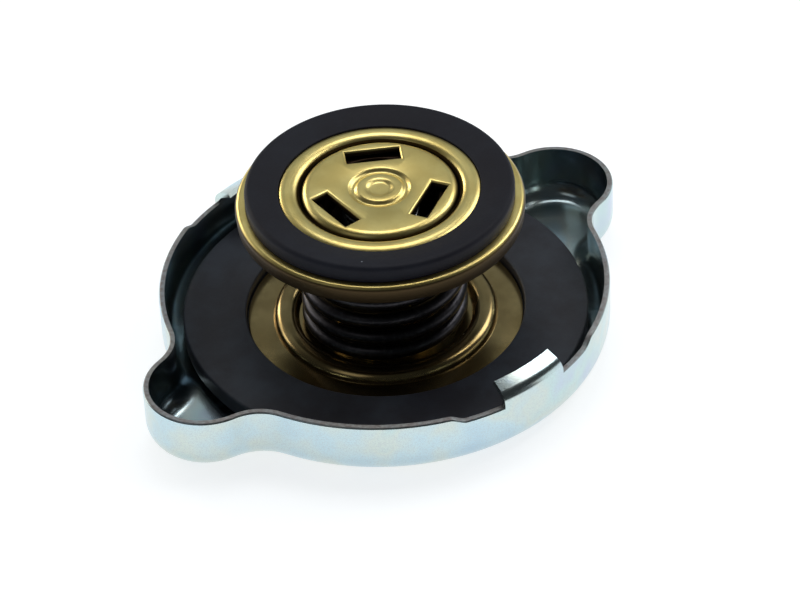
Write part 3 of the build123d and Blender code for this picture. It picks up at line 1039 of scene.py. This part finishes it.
# %% Geometry Nodes: weld and smooth
def weld_tree():
    sockets = [("Geometry", "Geometry"), ("Weld distance", "Float"), ("Material", "Material")]
    recipe, (geometry, distance, material) = new_tree("weld_and_smooth", sockets)
    inputs = {"Geometry": geometry, "Distance": distance}
    welded = recipe.node("GeometryNodeMergeByDistance", inputs=inputs)
    return end_tree(recipe, welded, material)


weld_nodes = weld_tree()
WELD_DISTANCE = 0.001
CRISP_COPY = 28
copies = [
    ("sleeve_pressing", "stop_sleeve", "pressure_valve", "valve_brass", bell_brass),
    ("cup_pressing", "guide_cup", "carrier", "bell_brass", bell_brass),
    ("rivet_body", "centre_rivet", "carrier", "rivet_steel", rivet_steel),
    ("diaphragm_disc", "diaphragm_spring", "carrier", "disc_steel", disc_steel),
    ("vacuum_disc_pressing", "vacuum_valve", "vacuum_disc", "valve_brass", chamber_brass),
]
for name, node, body, slot, material in copies:
    inputs = {"Weld distance": WELD_DISTANCE * MM, "Material": material}
    data = grown(name, weld_nodes, inputs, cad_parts[node].data.copy())
    piece = finished_object(name, data, material, CRISP_COPY)
    even = piece.modifiers.new("even_normals", "WEIGHTED_NORMAL")
    even.keep_sharp = True
    take_over(piece, node, body)

# %% [markdown]
# Two flat washers are left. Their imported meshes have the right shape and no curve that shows, so they stay
# as they are and only get their finish.

# %% Washers
washers = [
    ("rivet_washer", rivet_steel, "rivet_steel"),
    ("vacuum_seal", seal_rubber, "seal_rubber"),
]
for node, material, slot in washers:
    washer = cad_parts[node]
    washer.data.materials.clear()
    washer.data.materials.append(material)
    print(node, "keeps its own mesh")

# %% [markdown]
# The camera stands where the photographer stood: the ears, the rings' ellipses and their spacing give its
# direction, distance and lens. It looks down at about 39 degrees and is rolled by a few degrees.

# %% Camera
CAMERA_TARGET = Vector((-2.03, -4.91, 8.0))
CAMERA_AZIMUTH = math.radians(-39.27)
CAMERA_ELEVATION = math.radians(39.45)
CAMERA_ROLL = math.radians(2.76)
CAMERA_DISTANCE = 409.95
CAMERA_LENS = 180.1
SENSOR_WIDTH = 36


def direction_of(around, up):
    """The direction at an angle round the axis, from the x axis, and at an angle up from the floor."""
    level = math.cos(up)
    return Vector((math.cos(around) * level, math.sin(around) * level, math.sin(up)))


back = direction_of(CAMERA_AZIMUTH - math.pi / 2, CAMERA_ELEVATION)
level_right = Vector((0, 0, 1)).cross(back).normalized()
level_up = back.cross(level_right)
right = level_right * math.cos(CAMERA_ROLL) - level_up * math.sin(CAMERA_ROLL)
upwards = level_right * math.sin(CAMERA_ROLL) + level_up * math.cos(CAMERA_ROLL)
camera_data = bpy.data.cameras.new("camera")
camera_data.lens = CAMERA_LENS
camera_data.sensor_width = SENSOR_WIDTH
camera = bpy.data.objects.new("camera", camera_data)
bpy.context.scene.collection.objects.link(camera)
turn = Matrix((right, upwards, back)).transposed().to_4x4()
camera.matrix_world = Matrix.Translation((CAMERA_TARGET + back * CAMERA_DISTANCE) * MM) @ turn
bpy.context.scene.camera = camera
bpy.context.scene.view_settings.view_transform = "Standard"
print("camera at", [round(x, 3) for x in camera.location])

# %% [markdown]
# The cap lies on a plain white floor. A floor that is white from light alone would need so much light that
# the black rubber turns grey. So it glows, but only to the camera, in reflections and through glass, and the
# real light on it stays soft and leaves a faint shadow.

# %% Floor
FLOOR_HALF_SIZE = 1.5
FLOOR_DROP = 0.01
FLOOR_GLOW = 0.66
FLOOR_GREY = (0.5, 0.5, 0.5, 1)


def white_floor():
    data = bpy.data.meshes.new("floor")
    size = FLOOR_HALF_SIZE
    corners = [(-size, -size), (size, -size), (size, size), (-size, size)]
    data.from_pydata([(x, y, -FLOOR_DROP * MM) for x, y in corners], [], [(0, 1, 2, 3)])
    made = bpy.data.objects.new("floor", data)
    bpy.context.scene.collection.objects.link(made)
    material = bpy.data.materials.new("white_floor")
    material.use_nodes = True
    recipe = Recipe(material.node_tree)
    camera_ray, glossy_ray, through_ray = recipe.rays("Camera", "Glossy", "Transmission")
    seen = camera_ray.math("MAXIMUM", glossy_ray).math("MAXIMUM", through_ray)
    inputs = {"Color": (1, 1, 1, 1), "Strength": seen * FLOOR_GLOW}
    glow = recipe.node("ShaderNodeEmission", inputs=inputs)
    paper = recipe.node("ShaderNodeBsdfDiffuse", inputs={"Color": FLOOR_GREY})
    both = recipe.node("ShaderNodeAddShader", inputs=[paper, glow])
    recipe.tree.nodes.remove(recipe.tree.nodes["Principled BSDF"])
    recipe.tree.links.new(both.socket, recipe.tree.nodes["Material Output"].inputs["Surface"])
    data.materials.append(material)
    return made


floor = white_floor()
floor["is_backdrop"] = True
print("floor", 2 * FLOOR_HALF_SIZE, "m wide")

# %% [markdown]
# Beyond the floor the camera sees white too. The metal doesn't: in the photo it mirrors a dim room, with a
# paler backdrop behind the cap. So reflections see a nearly black sky with one soft pale patch in it, and
# matt surfaces get an even, weak light from all round.

# %% World
AWAY = CAMERA_AZIMUTH + math.pi / 2
DIM_ROOM = 0.03
BACKDROP = 0.29
EVEN_LIGHT = 0.5
SKY_BLUE = (0.82, 0.93, 1)


def studio_world():
    world = bpy.data.worlds.new("studio")
    world.use_nodes = True
    bpy.context.scene.world = world
    recipe = Recipe(world.node_tree)
    background = recipe.tree.nodes["Background"]
    camera_ray, through_ray, diffuse_ray = recipe.rays("Camera", "Transmission", "Diffuse")
    seen = camera_ray.math("MAXIMUM", through_ray)
    # In a world, the generated coordinates are the direction in which a ray looks.
    x, y, up = recipe.axes(recipe.node("ShaderNodeTexCoord", output="Generated"))
    behind = x * math.cos(AWAY) + y * math.sin(AWAY)
    backdrop = (1 - up.above(0.80, 0.2)) * behind.above(0.45, 0.6)
    unseen = DIM_ROOM + BACKDROP * backdrop + EVEN_LIGHT * diffuse_ray
    strength = seen + (1 - seen) * unseen
    tint = recipe.mix(seen, SKY_BLUE, (1, 1, 1))
    recipe.tree.links.new(tint.socket, background.inputs["Color"])
    recipe.tree.links.new(strength.socket, background.inputs["Strength"])


studio_world()
print("world ready")

# %% [markdown]
# The highlights in the photo tell where its lights stood. Most of the light comes from high up and behind
# the cap: one large soft box over it and one to its right. A smaller one shines back from the front tab.
# Two on the left are warm and draw bright lines on the brass, and two weak ones lift the right side and the
# front. A lamp is set by its radiance, so that its size can change and its look stay.

# %% Lamps
LAMP_DISTANCE = 500
WARM = (1, 0.9, 0.75)
SLIGHTLY_WARM = (1, 0.95, 0.9)


def soft_box(name, around, up, size_mm, radiance, colour=(1, 1, 1)):
    """A lamp that faces the cap, in degrees to the right from straight behind it, and up."""
    data = bpy.data.lights.new(name, "AREA")
    data.shape = "RECTANGLE"
    data.size, data.size_y = size_mm[0] * MM, size_mm[1] * MM
    data.energy = math.pi * data.size * data.size_y * radiance
    data.color = colour
    lamp = bpy.data.objects.new(name, data)
    bpy.context.scene.collection.objects.link(lamp)
    direction = direction_of(AWAY - math.radians(around), math.radians(up))
    lamp.location = direction * LAMP_DISTANCE * MM
    lamp.rotation_mode = "QUATERNION"
    lamp.rotation_quaternion = direction.to_track_quat("Z", "Y")


soft_box("top_box", 0, 66, (220, 220), 2.8)
soft_box("window_box", 50, 38, (200, 200), 3.3)
soft_box("tab_lamp", 67, 56, (60, 100), 6.0)
soft_box("right_box", 95, 12, (250, 200), 1.0)
soft_box("left_box", -60, 15, (200, 200), 2.3, SLIGHTLY_WARM)
soft_box("front_box", -135, 50, (200, 200), 0.4)
soft_box("left_lamp", -38, 17, (110, 150), 7.0, WARM)
print("lamps:", len(bpy.data.lights))

# %% [markdown]
# Last, the sizes are printed: the imported part's box beside the dressed part's box.

# %% Sizes
shown_low, shown_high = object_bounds()
cad_sides = [round(side / MM, 2) for side in cad_high - cad_low]
shown_sides = [round(side / MM, 2) for side in shown_high - shown_low]
print("cad box", cad_sides, "dressed", shown_sides)
